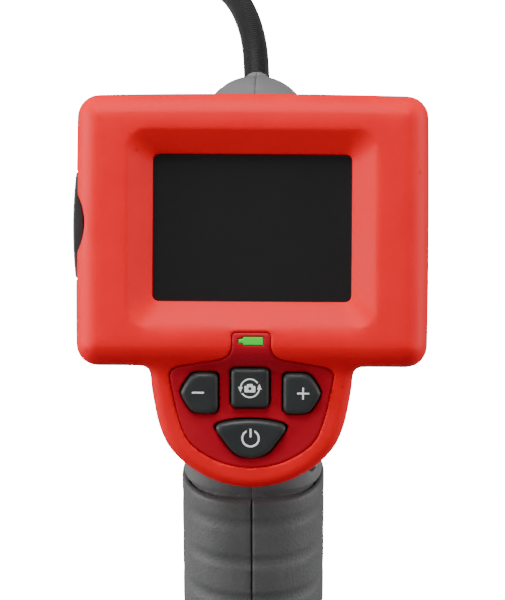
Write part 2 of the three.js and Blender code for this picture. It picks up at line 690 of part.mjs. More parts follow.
// ---- Camera cable --------------------------------------------------------------------------------
const CABLE_ROUTE = [
  [0, 55.2, 181.9], [-0.7, 67, 186], [-1.8, 78, 188.2], [-3.5, 89, 189.8], [-5.9, 100.5, 190.9],
  [-9.8, 112, 191.9], [-17, 123.5, 193], [-28, 132.5, 194], [-42, 137.5, 194.3], [-57, 138, 193.5],
  [-72, 134.5, 190.5], [-86, 127.5, 184], [-96.5, 118.5, 173], [-103, 109, 158], [-106.3, 99.5, 140],
  [-107.6, 90, 121], [-107.8, 80.5, 101], [-107.6, 70.5, 81], [-107.2, 60.5, 62], [-106.8, 50.5, 44],
  [-106.4, 40.5, 27.5], [-106.3, 31, 14.5], [-106.2, 21.8, 7],
];
const TAIL_ROUTE = [
  [-33.5, -42.5, 11.15], [-28.5, -42.5, 10.9], [-22.5, -42.7, 9.9], [-16.5, -42.9, 8.8], [-11.4, -43, 8.5],
];

function tube(route, steps) {
  const path = new THREE.CatmullRomCurve3(route.map((p) => new THREE.Vector3(...p)));
  const section = new THREE.Shape();
  for (let i = 0; i < CABLE.sides; i += 1) {
    const angle = (2 * Math.PI * i) / CABLE.sides;
    const x = CABLE.radius * Math.cos(angle);
    const y = CABLE.radius * Math.sin(angle);
    if (i === 0) section.moveTo(x, y);
    else section.lineTo(x, y);
  }
  return new THREE.ExtrudeGeometry(section, { steps, extrudePath: path, bevelEnabled: false });
}

// The coil's outer shape: two turns side by side with the last one on top of them.
function coilProfile(grow) {
  const r = CABLE.radius + grow;
  const half = CABLE.pitch / 2;
  const floor = COIL.lift - grow;
  const first = COIL.lift + CABLE.radius;
  const top = first + (CABLE.pitch * Math.sqrt(3)) / 2 + r;
  const points = [
    [-half - r * 0.6, floor], [half + r * 0.6, floor], [half + r, first],
    [half, top - r * 0.35], [half * 0.5, top], [-half * 0.5, top], [-half, top - r * 0.35],
    [-half - r, first],
  ];
  return points.map(([x, y]) => new THREE.Vector2(x, y));
}

function coilRing(grow, segments = 40) {
  const profile = coilProfile(grow).map((p) => p.add(new THREE.Vector2(COIL.radius, 0)));
  profile.push(profile[0].clone());
  return new THREE.LatheGeometry(profile, segments).rotateX(Math.PI / 2);
}

function buildCoil() {
  const coil = addMesh(camera, 'cable_coil', coilRing(0), CABLE_SHEATH);
  coil.position.set(COIL.x, COIL.y, 0);
  const sleeve = solid(coilRing(GAP + TIE.thickness)).subtract(solid(coilRing(GAP)));
  TIE.angles.forEach((degrees, i) => {
    const angle = THREE.MathUtils.degToRad(degrees);
    const slice = box(0, 80, -TIE.width / 2, TIE.width / 2, -5, 30).rotateZ(angle);
    const tie = addMesh(camera, `cable_tie_${i + 1}`, sleeve.intersect(solid(slice)), BLACK_ABS);
    tie.position.copy(coil.position);
  });
}

// The cable's core runs on into the nose, where a brass collar clamps it.
function buildAnchor() {
  const collar = cut(solid(cylinder(8.5, 8.5, -10, 4, 20)), solid(cylinder(2.9, 2.9, -20, 20, 12)));
  addMesh(camera, 'cable_anchor', geometryOf(collar).applyMatrix4(barrelMatrix), BRASS);
  const core = cylinder(CABLE.core, CABLE.core, -14, NECK.end, 12).applyMatrix4(barrelMatrix);
  addMesh(camera, 'cable_core', core, BLACK_ABS);
}

function buildImager() {
  const imager = new THREE.Group();
  imager.position.set(IMAGER.start, IMAGER.y, IMAGER.radius);
  imager.rotation.y = Math.PI / 2;
  camera.add(imager);
  const { radius, length } = IMAGER;
  const shell = new THREE.LatheGeometry([
    [0, 0], [radius - 1.2, 0], [radius, 1.2], [radius, length - 1], [radius - 1, length],
    [radius - 1.8, length], [radius - 1.8, length - 6], [0, length - 6],
  ].map(([x, y]) => new THREE.Vector2(x, y)), 24).rotateX(Math.PI / 2);
  addMesh(imager, 'imager_housing', shell, BLACK_ABS);

  addMesh(imager, 'imager_ferrule', cylinder(4.2, 6.4, -IMAGER.ferrule, -GAP, 20), STEEL);
  const inner = radius - 1.8 - GAP;
  addMesh(imager, 'imager_window', cylinder(inner, inner, length - 1.6, length - 0.2, 24), CLEAR_LENS);
  addMesh(imager, 'imager_sensor', cylinder(2.4, 2.4, length - 5.7, length - 1.9, 16), BLACK_GLASS);
  for (let i = 0; i < 4; i += 1) {
    const angle = Math.PI / 4 + (i * Math.PI) / 2;
    const led = addMesh(imager, `imager_led_${i + 1}`, box(-0.8, 0.8, -0.8, 0.8, length - 5.7, length - 1.9),
      CLEAR_LENS);
    led.position.set(4.4 * Math.cos(angle), 4.4 * Math.sin(angle), 0);
    led.rotation.z = angle;
  }
}

function buildCable() {
  addMesh(camera, 'cable', tube(CABLE_ROUTE, 34), CABLE_SHEATH);
  addMesh(camera, 'cable_tail', tube(TAIL_ROUTE, 6), CABLE_SHEATH);
}

buildBezel();
buildKeys();
buildDisplay();
buildPortCover();
buildHousing();
buildGrips();
buildScrews();
buildBatteryCap();
buildLatch('latch_left', -1);
buildLatch('latch_right', 1);
buildSeal();
buildTray();
buildCells();
buildContacts();
buildAnchor();
buildCable();
buildCoil();
buildImager();

export default camera;
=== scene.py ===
import math

import bmesh
import bpy
import numpy as np
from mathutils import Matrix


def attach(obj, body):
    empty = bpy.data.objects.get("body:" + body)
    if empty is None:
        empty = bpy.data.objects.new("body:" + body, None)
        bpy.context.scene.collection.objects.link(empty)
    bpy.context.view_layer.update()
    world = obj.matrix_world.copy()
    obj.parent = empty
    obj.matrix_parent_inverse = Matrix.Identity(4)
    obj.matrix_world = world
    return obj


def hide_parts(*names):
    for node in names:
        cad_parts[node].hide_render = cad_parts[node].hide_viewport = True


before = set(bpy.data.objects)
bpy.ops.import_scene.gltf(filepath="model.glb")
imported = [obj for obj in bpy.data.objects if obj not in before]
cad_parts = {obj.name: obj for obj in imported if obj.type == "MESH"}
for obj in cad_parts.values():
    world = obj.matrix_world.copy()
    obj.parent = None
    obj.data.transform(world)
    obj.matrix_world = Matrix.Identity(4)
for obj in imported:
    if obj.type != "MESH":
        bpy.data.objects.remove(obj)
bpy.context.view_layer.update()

import openvdb as vdb
from mathutils import Matrix, Vector

MM = 0.001

# ---- Driving dimensions, in millimetres ------------------------------------------------------------
HEAD_TILT = math.radians(22)
KEYPAD_TILT = math.radians(9)
BARREL_RISE = math.radians(22)
HEAD = Matrix.Translation((0, -12, 164)) @ Matrix.Rotation(math.pi / 2 - HEAD_TILT, 4, "X")
KEYPAD_IN_HEAD = Matrix.Translation((0, -34.7, -5)) @ Matrix.Rotation(KEYPAD_TILT, 4, "X")
KEYPAD = HEAD @ KEYPAD_IN_HEAD
BARREL = Matrix.Translation(HEAD @ Vector((0, 26.7, -40))) @ Matrix.Rotation(
    BARREL_RISE - math.pi / 2, 4, "X"
)
WORLD = Matrix.Identity(4)

SHELL = 2.4  # wall of the red bezel
GAP = 0.3  # gap between neighbouring pieces
BEZEL = dict(half=44.9, low=-35.2, high=34.2, corner=5.5, edge=6.8, depth=18)
CROWN = 0.6  # fall of the bezel's top edge towards its corners
RECESS = dict(depth=4.5, half=25.25, rise=18.7, flare_x=1.456, flare_top=1.4, flare_low=1.533)
SCREEN_CORNER = 1.5
PORT = dict(y=0.5, half=13.85, front=-4.8, back=-16.4, pocket=2.3, bulge=0.8, hole=3.0, axis=-11.0)
SCOOP = dict(x=-57.0, y=0.9, radius=14.5, floor=-5.3)
HANDLE = dict(half=18.9, depth=21.0, top=91.0, bottom=8.4)
CORE = dict(half=16.9, depth=18.9, bottom=9.4, top=150.0)
RIB = dict(pitch=11.0, first=86.5, height=3.8, count=7)
SQUARENESS = 2.7
GRIP_SQUARENESS = 2.35
CABLE_RADIUS = 3.55
COIL = Vector((-66, -6, 0))
IMAGER = dict(start=-3.0, y=-43.0, radius=8.5, inner=6.7, length=26.0)
WALL = 2.2  # wall of the grey housing
REAR = dict(inset=0.6, depth=36, edge=8, parting=18.3)
BARREL_SIZE = dict(radius=15, back=30)
NECK = dict(radius=3.75, end=21.2, bore=2.9, bore_end=23)
BAY = dict(half=15.4, corner=8, top=66, partition=2.5)
CAP = dict(height=8, floor=2.5)
LATCH = dict(half=5.9, middle=4.9, proud=19.1, inner=15.2)
CELL = dict(radius=7.1, offset=7.75, bottom=11, length=50.5)
BEZEL_SCREW = dict(x=38, y=27.5, shaft=1.35, boss=3.0, seat=-24.3)
HANDLE_SCREWS = [(-10, 98), (10, 98), (10, 122)]
EYE = dict(distance=650, lens=154.8, yaw=math.radians(1.2), lean=math.radians(0.37))  # the camera


# ---- Distance-field helpers ------------------------------------------------------------------------
def round_max(a, b, radius):
    """Where both hold, with the edge between them rounded."""
    corner = np.hypot(np.maximum(a + radius, 0), np.maximum(b + radius, 0))
    return np.minimum(np.maximum(a, b), -radius) + corner


def smooth_min(a, b, reach):
    blend = np.maximum(reach - np.abs(a - b), 0) / reach
    return np.minimum(a, b) - blend * blend * reach / 4


def smooth_max(a, b, reach):
    return -smooth_min(-a, -b, reach)


def rounded_rect(x, y, half_x, half_y, radius):
    dx = np.abs(x) - half_x + radius
    dy = np.abs(y) - half_y + radius
    return np.hypot(np.maximum(dx, 0), np.maximum(dy, 0)) + np.minimum(np.maximum(dx, dy), 0) - radius


def superellipse(x, y, half_x, half_y, n=SQUARENESS):
    """Distance to a squarish ellipse, from its own value over its slope."""
    u = np.maximum(np.abs(x) / half_x, 1e-3)
    v = np.maximum(np.abs(y) / half_y, 1e-3)
    value = (u**n + v**n) ** (1 / n)
    slope = value ** (1 - n) * np.hypot(u ** (n - 1) / half_x, v ** (n - 1) / half_y)
    return (value - 1) / slope


def in_frame(p, placed):
    """Points given in a frame's parent, as the frame sees them. Frames turn about x only."""
    back = placed.inverted()
    x, y, z = p
    return (
        x + back[0][3],
        back[1][1] * y + back[1][2] * z + back[1][3],
        back[2][1] * y + back[2][2] * z + back[2][3],
    )


class Field:
    """A grid of sample points over a box, in millimetres, and the pieces meshed from values on it."""

    def __init__(self, low, high, step, placed=WORLD):
        self.step = step * 1
        self.low = np.array(low, float) - 3 * self.step
        counts = np.ceil((np.array(high) - self.low) / self.step).astype(int) + 4
        axes = [self.low[i] + self.step * np.arange(counts[i]) for i in range(3)]
        self.p = np.meshgrid(*axes, indexing="ij", sparse=True)
        self.shape = tuple(counts)
        self.placed = placed

    def piece(self, name, values, material, body, slot=None, nodes=(), adaptivity=0.03):
        reach = 3.0
        scaled = np.clip(np.broadcast_to(values, self.shape) / self.step, -reach, reach)
        grid = vdb.FloatGrid(reach)
        grid.copyFromArray(np.ascontiguousarray(scaled, dtype=np.float32))
        points, triangles, quads = grid.convertToPolygons(0.0, adaptivity)
        points = self.low + np.asarray(points, float) * self.step
        faces = [list(map(int, f)) for f in triangles] + [list(map(int, f)) for f in quads]
        return add_piece(name, points, faces, self.placed, material, body, nodes)


def add_piece(name, points, faces, placed, material, body, nodes=(), smooth=True):
    matrix = np.array(placed)
    world = (points @ matrix[:3, :3].T + matrix[:3, 3]) * MM
    mesh = bpy.data.meshes.new(name)
    mesh.from_pydata(world.tolist(), [], faces)
    mesh.update()
    work = bmesh.new()
    work.from_mesh(mesh)
    if work.calc_volume(signed=True) < 0:
        mesh.flip_normals()
    work.free()
    mesh.polygons.foreach_set("use_smooth", [smooth] * len(mesh.polygons))
    piece = bpy.data.objects.new(name, mesh)
    bpy.context.scene.collection.objects.link(piece)
    mesh.materials.append(material)
    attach(piece, body)
    if nodes:
        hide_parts(*nodes)
    return piece


# ---- Camera ----------------------------------------------------------------------------------------
def add_camera():
    """Looks square at the display from 0.65 m, from a hair to its right, with the object leaning a little."""
    turned = HEAD.to_3x3()
    right, rise, out = (turned @ Vector(axis) for axis in ((1, 0, 0), (0, 1, 0), (0, 0, 1)))
    target = HEAD @ Vector((0.3, -18.3, 0))
    back = right * math.sin(EYE["yaw"]) + out * math.cos(EYE["yaw"])
    up = rise * math.cos(EYE["lean"]) - right * math.sin(EYE["lean"])
    side = up.cross(back).normalized()
    up = back.cross(side)
    data = bpy.data.cameras.new("camera")
    data.lens = EYE["lens"]
    data.sensor_width = 36
    camera = bpy.data.objects.new("camera", data)
    rotation = Matrix((side, up, back)).transposed().to_4x4()
    camera.matrix_world = Matrix.Translation((target + back * EYE["distance"]) * MM) @ rotation
    bpy.context.scene.collection.objects.link(camera)
    bpy.context.scene.camera = camera


add_camera()


# ---- Materials -------------------------------------------------------------------------------------
FINE_GRAIN = 0.00004  # heights of surface grain, in metres
SOFT_GRAIN = 0.00006
COARSE_GRAIN = 0.0002
FOAM_GRAIN = 0.0003


def link(tree, source, target):
    tree.links.new(source, target)


def add_node(tree, kind, **values):
    made = tree.nodes.new(kind)
    for key, value in values.items():
        made.inputs[key.replace("_", " ")].default_value = value
    return made


def start_material(name, roughness, metallic=0.0):
    material = bpy.data.materials.new(name)
    material.use_nodes = True
    tree = material.node_tree
    shader = tree.nodes["Principled BSDF"]
    shader.inputs["Roughness"].default_value = roughness
    shader.inputs["Metallic"].default_value = metallic
    return material, tree, shader


def place_coordinates(tree, stretch=(1, 1, 1)):
    coordinates = tree.nodes.new("ShaderNodeTexCoord")
    mapping = add_node(tree, "ShaderNodeMapping", Scale=stretch)
    link(tree, coordinates.outputs["Object"], mapping.inputs["Vector"])
    return mapping.outputs["Vector"]


def spread_value(tree, source, low, high):
    spread = tree.nodes.new("ShaderNodeMapRange")
    spread.inputs["From Min"].default_value = 0.3
    spread.inputs["From Max"].default_value = 0.7
    spread.inputs["To Min"].default_value = low
    spread.inputs["To Max"].default_value = high
    link(tree, source, spread.inputs["Value"])
    return spread.outputs["Result"]


def mottled_colour(tree, shader, place, colour, spread, size):
    """The colour, a little darker and lighter in soft patches."""
    patches = add_node(tree, "ShaderNodeTexNoise", Scale=size, Detail=3.0)
    link(tree, place, patches.inputs["Vector"])
    mix = tree.nodes.new("ShaderNodeMix")
    mix.data_type = "RGBA"
    for socket in mix.inputs:
        if socket.name in "AB" and socket.type == "RGBA":
            factor = 1 - spread if socket.name == "A" else 1 + spread
            socket.default_value = [min(c * factor, 1) for c in colour] + [1]
    link(tree, spread_value(tree, patches.outputs["Fac"], 0.0, 1.0), mix.inputs["Factor"])
    output = [s for s in mix.outputs if s.type == "RGBA"][0]
    link(tree, output, shader.inputs["Base Color"])
    return patches


def grain_bump(tree, shader, place, size, depth, strength):
    grain = add_node(tree, "ShaderNodeTexNoise", Scale=size, Detail=2.0)
    link(tree, place, grain.inputs["Vector"])
    bump = add_node(tree, "ShaderNodeBump", Strength=strength, Distance=depth)
    link(tree, grain.outputs["Fac"], bump.inputs["Height"])
    link(tree, bump.outputs["Normal"], shader.inputs["Normal"])
    return grain


def moulded(
    name, colour, roughness, grain=2200, depth=FINE_GRAIN, strength=0.5, spread=0.05, stretch=(1, 1, 1)
):
    """Moulded plastic or rubber: fine surface grain, soft patches of colour and of roughness."""
    material, tree, shader = start_material(name, roughness)
    place = place_coordinates(tree, stretch)
    patches = mottled_colour(tree, shader, place, colour, spread, 90)
    grain_bump(tree, shader, place, grain, depth, strength)
    rough = spread_value(tree, patches.outputs["Fac"], roughness - 0.05, roughness + 0.05)
    link(tree, rough, shader.inputs["Roughness"])
    return material


def metal(name, colour, roughness, stretch=(1, 1, 1)):
    material, tree, shader = start_material(name, roughness, 1.0)
    place = place_coordinates(tree, stretch)
    mottled_colour(tree, shader, place, colour, 0.08, 300)
    grain_bump(tree, shader, place, 1500, 0.00001, 0.3)
    return material


def glassy(name, colour, roughness, coat=0.0):
    """Glossy moulding: almost no grain, and smears that change only its roughness."""
    material, tree, shader = start_material(name, roughness)
    place = place_coordinates(tree)
    patches = mottled_colour(tree, shader, place, colour, 0.03, 60)
    rough = spread_value(tree, patches.outputs["Fac"], roughness * 0.8, roughness * 1.25)
    link(tree, rough, shader.inputs["Roughness"])
    shader.inputs["Coat Weight"].default_value = coat
    return material


def board_material(name):
    """Solder mask with faint tracks under it."""
    material, tree, shader = start_material(name, 0.35)
    place = place_coordinates(tree)
    tracks = tree.nodes.new("ShaderNodeTexBrick")
    tracks.inputs["Scale"].default_value = 260
    tracks.inputs["Color1"].default_value = (0.012, 0.09, 0.035, 1)
    tracks.inputs["Color2"].default_value = (0.016, 0.12, 0.045, 1)
    tracks.inputs["Mortar"].default_value = (0.03, 0.2, 0.08, 1)
    link(tree, place, tracks.inputs["Vector"])
    link(tree, tracks.outputs["Color"], shader.inputs["Base Color"])
    grain_bump(tree, shader, place, 900, 0.00003, 0.4)
    return material


def sheath_material(name):
    """Ribbed cable sheath: rings run along the second texture coordinate, which is in metres."""
    material, tree, shader = start_material(name, 0.48)
    layout = tree.nodes.new("ShaderNodeUVMap")
    layout.uv_map = "along"
    rings = tree.nodes.new("ShaderNodeTexWave")
    rings.bands_direction = "Y"
    rings.inputs["Scale"].default_value = 500
    rings.inputs["Distortion"].default_value = 1.5
    rings.inputs["Detail Scale"].default_value = 900
    link(tree, layout.outputs["UV"], rings.inputs["Vector"])
    place = place_coordinates(tree)
    mottled_colour(tree, shader, place, (0.008, 0.008, 0.0083), 0.9, 1800)
    shader.inputs["Specular IOR Level"].default_value = 0.25
    shader.inputs["Sheen Weight"].default_value = 0.2
    shader.inputs["Sheen Roughness"].default_value = 0.25
    bump = add_node(tree, "ShaderNodeBump", Strength=0.12, Distance=0.0001)
    link(tree, rings.outputs["Fac"], bump.inputs["Height"])
    link(tree, bump.outputs["Normal"], shader.inputs["Normal"])
    return material


def lens_glass(name):
    """Clear glass with faint smears."""
    material, tree, shader = start_material(name, 0.04)
    place = place_coordinates(tree)
    patches = add_node(tree, "ShaderNodeTexNoise", Scale=80.0, Detail=2.0)
    link(tree, place, patches.inputs["Vector"])
    link(tree, spread_value(tree, patches.outputs["Fac"], 0.02, 0.06), shader.inputs["Roughness"])
    shader.inputs["Base Color"].default_value = (0.9, 0.94, 0.95, 1)
    shader.inputs["Transmission Weight"].default_value = 1.0
    shader.inputs["IOR"].default_value = 1.45
    return material


RED = moulded(
    "red_plastic", (0.88, 0.002, 0.011), 0.45, grain=1500, depth=SOFT_GRAIN, strength=0.35, spread=0.04
)
# The key panel is the bezel's red plastic darkened: painted shade for the shadow round the keys and on the
# tongue's downward-facing slope.
SHADED_PANEL_RED = moulded("panel_red_with_painted_shade", (0.47, 0.007, 0.02), 0.45, grain=1800, spread=0.05)
for red in (RED, SHADED_PANEL_RED):
    red.node_tree.nodes["Principled BSDF"].inputs["Specular IOR Level"].default_value = 0.12
KEY_RUBBER = moulded("key_rubber", (0.018, 0.021, 0.0215), 0.5, grain=2600, spread=0.08)
KEY_PRINT = moulded("key_print", (0.93, 0.93, 0.93), 0.6, spread=0.02)
GREY = moulded("grey_plastic", (0.135, 0.135, 0.137), 0.42, grain=1800, spread=0.05)
GRIP = moulded(
    "grip_rubber", (0.09, 0.091, 0.092), 0.6, grain=1200, depth=COARSE_GRAIN, strength=0.8, spread=0.12
)
BLACK = moulded("black_plastic", (0.018, 0.018, 0.02), 0.45, grain=1800, spread=0.1)
FOAM = moulded("foam", (0.02, 0.02, 0.021), 0.9, grain=900, depth=FOAM_GRAIN, strength=0.9, spread=0.3)
STRAP = moulded(
    "strap_weave", (0.015, 0.015, 0.017), 0.8, grain=1200, depth=COARSE_GRAIN, stretch=(1, 1, 3)
)
SLEEVE = glassy("cell_sleeve", (0.03, 0.12, 0.06), 0.3)
SCREEN = glassy("screen_glass", (0.012, 0.012, 0.0125), 0.12)
SENSOR = glassy("sensor_glass", (0.01, 0.01, 0.03), 0.08, coat=0.5)
GREEN = glassy("green_lens", (0.01, 0.45, 0.02), 0.45)
GREEN.node_tree.nodes["Principled BSDF"].inputs["Emission Color"].default_value = (0.005, 0.8, 0.03, 1)
GREEN.node_tree.nodes["Principled BSDF"].inputs["Emission Strength"].default_value = 0.42
CLEAR = glassy("clear_lens", (0.7, 0.74, 0.76), 0.15, coat=0.4)
STEEL = metal("steel", (0.55, 0.56, 0.57), 0.32, (1, 1, 6))
BRASS = metal("brass", (0.62, 0.46, 0.2), 0.3, (5, 1, 1))
BOARD = board_material("solder_mask")
SHEATH = sheath_material("cable_sheath")
LENS_GLASS = lens_glass("lens_glass")


# ---- Cable -----------------------------------------------------------------------------------------
CABLE_ROUTE = [
    (0, 54.8, 181.7), (-0.7, 67, 186), (-1.8, 78, 188.2), (-3.5, 89, 189.8), (-5.9, 100.5, 190.9),
    (-9.8, 112, 191.9), (-17, 123.5, 193), (-28, 132.5, 194), (-42, 137.5, 194.3), (-57, 138, 193.5),
    (-72, 134.5, 190.5), (-86, 127.5, 184), (-96.5, 118.5, 173), (-103, 109, 158), (-106.3, 99.5, 140),
    (-107.6, 90, 121), (-107.8, 80.5, 101), (-107.6, 70.5, 81), (-107.2, 60.5, 62), (-106.8, 50.5, 44),
    (-106.4, 40.5, 27.5), (-106.3, 31, 14.5), (-106.2, 21.8, 7), (-106.2, 12, 5),
]
TAIL_ROUTE = [
    (-55, -42.5, 11.15), (-44, -42.5, 11.15), (-33.5, -42.5, 11.15), (-28.5, -42.5, 10.9),
    (-22.5, -42.7, 9.9), (-16.5, -42.9, 8.8), (-11.4, -43, 8.5), (-9.4, -43, 8.5),
]
COIL_START = 180
COIL_END = 990
OUTER_TURN = 40.2
INNER_TURN = 32.8
TOP_TURN = 36.5
GROUND_LAYER = 4.75
TOP_LAYER = 11.16
CROSSING = 12.3  # height where the second turn passes over the first


def ramp(value, start, end):
    t = min(max((value - start) / (end - start), 0), 1)
    return t * t * (3 - 2 * t)


def coil_points():
    """Two turns and a quarter: an outer one, an inner one, then over both, six degrees at a time."""
    points = []
    for degrees in range(COIL_START, COIL_END + 1, 6):
        radius = OUTER_TURN - (OUTER_TURN - INNER_TURN) * ramp(degrees, 470, 535)
        radius += (TOP_TURN - INNER_TURN) * ramp(degrees, 800, 880)
        height = GROUND_LAYER + (CROSSING - GROUND_LAYER) * ramp(degrees, 795, 860)
        height -= (CROSSING - TOP_LAYER) * ramp(degrees, 880, 935)
        angle = math.radians(degrees)
        points.append((COIL.x + radius * math.cos(angle), COIL.y + radius * math.sin(angle), height))
    return points


def smooth_route(points, spacing):
    """A curve through the points, in even steps of its length."""
    p = np.array(points, float)
    p = np.vstack([2 * p[0] - p[1], p, 2 * p[-1] - p[-2]])
    t = np.linspace(0, 1, 24, endpoint=False)[:, None]
    spans = []
    for a, b, c, d in zip(p, p[1:], p[2:], p[3:]):
        spans.append(
            0.5 * (2 * b + (c - a) * t + (2 * a - 5 * b + 4 * c - d) * t**2 + (3 * b - a - 3 * c + d) * t**3)
        )
    dense = np.vstack(spans + [p[-2:-1]])
    for _ in range(3):
        inner = (dense[:-2] + 2 * dense[1:-1] + dense[2:]) / 4
        dense = np.vstack([dense[:1], inner, dense[-1:]])
    along = np.concatenate([[0], np.cumsum(np.linalg.norm(np.diff(dense, axis=0), axis=1))])
    even = np.linspace(0, along[-1], int(along[-1] / spacing) + 1)
    return np.stack([np.interp(even, along, dense[:, i]) for i in range(3)], axis=1), even


def tube_rings(path, radii, sides):
    """Rings of points along a path, without twist."""
    tangents = np.gradient(path, axis=0)
    tangents /= np.linalg.norm(tangents, axis=1)[:, None]
    side = np.cross(tangents[0], (1, 0, 0))
    side /= np.linalg.norm(side)
    angles = 2 * math.pi * np.arange(sides) / sides
    rings = []
    for centre, tangent, radius in zip(path, tangents, radii):
        side = side - tangent * np.dot(side, tangent)
        side /= np.linalg.norm(side)
        other = np.cross(tangent, side)
        rings.append(centre + radius * (np.outer(np.cos(angles), side) + np.outer(np.sin(angles), other)))
    return np.array(rings)


def tube_faces(count, sides):
    faces = []
    for i in range(count - 1):
        for j in range(sides):
            k = (j + 1) % sides
            faces.append([i * sides + j, i * sides + k, (i + 1) * sides + k, (i + 1) * sides + j])
    faces.append(list(range(sides))[::-1])
    faces.append(list(range((count - 1) * sides, count * sides)))
    return faces


def along_layout(piece, sides, spacing):
    """Texture coordinates: round the tube, and along it in metres."""
    layer = piece.data.uv_layers.new(name="along")
    values = np.zeros((len(piece.data.loops), 2), np.float32)
    for polygon in piece.data.polygons:
        for loop in polygon.loop_indices:
            ring, side = divmod(piece.data.loops[loop].vertex_index, sides)
            values[loop] = (side / sides, ring * spacing * MM)
    layer.data.foreach_set("uv", values.ravel())


def add_cable():
    rib = 1.3
    spacing = rib / 4
    sides = 16
    path, along = smooth_route(CABLE_ROUTE + coil_points() + TAIL_ROUTE, spacing)
    radii = CABLE_RADIUS - 0.05 + 0.05 * np.cos(2 * math.pi * along / rib)
    points = tube_rings(path, radii, sides).reshape(-1, 3)
    faces = tube_faces(len(path), sides)
    nodes = ("cable", "cable_coil", "cable_tail")
    cable = add_piece("camera_cable", points, faces, WORLD, SHEATH, "root", nodes)
    along_layout(cable, sides, spacing)
    return cable, path, along[-1]


CABLE, CABLE_PATH, CABLE_LENGTH = add_cable()


# ---- Turned pieces ---------------------------------------------------------------------------------
def turned(name, profile, placed, material, body, slot=None, nodes=(), sides=48):
    """A profile of (radius, height) turned about the frame's z axis, with close points at its edges."""
    points = []
    for radius, height in profile:
        for i in range(sides):
            angle = 2 * math.pi * i / sides
            points.append((radius * math.cos(angle), radius * math.sin(angle), height))
    faces = tube_faces(len(profile), sides)
    piece = add_piece(name, np.array(points), faces, placed, material, body, nodes)
    piece.data.set_sharp_from_angle(angle=math.radians(35))
    return piece


def add_screw(name, placed, length, node):
    """A cross-head screw, turned: shaft with threads and a domed head; its cross is not cut in."""
    thread = []
    for i in range(int(length / 0.8) * 2):
        thread.append((0.72 + 0.24 * (i % 2), -length + 0.4 * i))
    profile = [(0.05, -length - 0.3)] + thread + [(1.0, -0.1), (2.2, 0.0), (2.2, 0.9), (2.0, 1.3), (1.3, 1.6)]
    return turned(name, profile + [(0.02, 1.65)], placed, STEEL, "root", "steel", (node,), 24)


def imager_frame():
    place = Matrix.Translation((IMAGER["start"], IMAGER["y"], IMAGER["radius"]))
    return place @ Matrix.Rotation(math.pi / 2, 4, "Y")


def imager_piece(name, profile, material, slot, node, sides, shift=(0, 0, 0)):
    """A turned piece of the camera head, moved off the head's axis by the shift."""
    place = imager_frame() @ Matrix.Translation(shift)
    return turned(name, profile, place, material, "root", slot, (node,), sides)


def imager_shell():
    """The black housing: a rounded back, five grip grooves, a seam and a well for the optics."""
    radius, length, inner = IMAGER["radius"], IMAGER["length"], IMAGER["inner"]
    outline = [(0.1, 0), (radius - 1.4, 0), (radius - 0.4, 0.4), (radius, 1.4)]
    for i in range(5):
        start = 4.0 + 2.2 * i
        floor = radius - 0.35
        outline += [(radius, start), (floor, start + 0.3), (floor, start + 0.9), (radius, start + 1.2)]
    outline += [(radius, length - 2.6), (radius - 0.25, length - 2.4), (radius - 0.25, length - 2.0)]
    outline += [(radius, length - 1.8), (radius, length - 0.8), (radius - 0.5, length - 0.1)]
    outline += [(radius - 1, length), (inner + 0.2, length), (inner, length - 0.2)]
    outline += [(inner, length - 6), (0.1, length - 6)]
    return imager_piece("imager_shell", outline, BLACK, "black_plastic", "imager_housing", 64)


def imager_sleeve():
    """The steel ferrule where the cable meets the camera head, in three steps."""
    outline = [(3.6, -8.0), (4.2, -7.7), (4.4, -6.6), (4.4, -6.2), (4.7, -6.0), (5.3, -3.6)]
    outline += [(5.6, -3.4), (5.6, -2.9), (5.9, -2.7), (6.4, -0.8), (6.2, -0.35), (3.6, -0.35)]
    return imager_piece("imager_sleeve", outline, STEEL, "steel", "imager_ferrule", 48)


def imager_glass():
    length, inner = IMAGER["length"], IMAGER["inner"]
    outline = [(0.05, length - 1.6), (inner - 0.35, length - 1.6), (inner - 0.35, length - 0.5)]
    outline += [(inner - 0.6, length - 0.25), (0.05, length - 0.2)]
    return imager_piece("imager_glass", outline, LENS_GLASS, "clear_lens", "imager_window", 64)


def imager_lens():
    length = IMAGER["length"]
    outline = [(0.05, length - 5.7), (2.9, length - 5.7), (2.9, length - 3.2), (2.6, length - 2.9)]
    outline += [(1.9, length - 2.9), (1.5, length - 3.3), (1.0, length - 3.0), (0.05, length - 2.8)]
    return imager_piece("imager_lens", outline, SENSOR, "sensor_glass", "imager_sensor", 40)


def tip_light(number):
    """One of the four lamps round the lens."""
    length = IMAGER["length"]
    angle = math.pi / 4 + (number - 1) * math.pi / 2
    shift = (4.4 * math.cos(angle), 4.4 * math.sin(angle), 0)
    outline = [(0.05, length - 5.7), (1.0, length - 5.7), (1.0, length - 3.4), (0.9, length - 3.0)]
    outline += [(0.6, length - 2.7), (0.05, length - 2.6)]
    node = f"imager_led_{number}"
    return imager_piece(f"tip_light_{number}", outline, CLEAR, "clear_lens", node, 20, shift)


def add_imager():
    optics = [imager_shell(), imager_sleeve(), imager_glass(), imager_lens()]
    return optics + [tip_light(number) for number in range(1, 5)]


IMAGER_PIECES = add_imager()


# ---- Ties round the coil ---------------------------------------------------------------------------
def tie_outline(strands, reach):
    """The loop of a strap pulled round some strands: their outer hull, `reach` outside their centres."""
    centre = np.mean(strands, axis=0)
    loop = []
    for angle in np.linspace(0, 2 * math.pi, 72, endpoint=False):
        outward = np.array((math.cos(angle), math.sin(angle)))
        furthest = max(strands, key=lambda s: np.dot(np.array(s) - centre, outward))
        loop.append(np.array(furthest) + outward * reach)
    return np.array(loop)


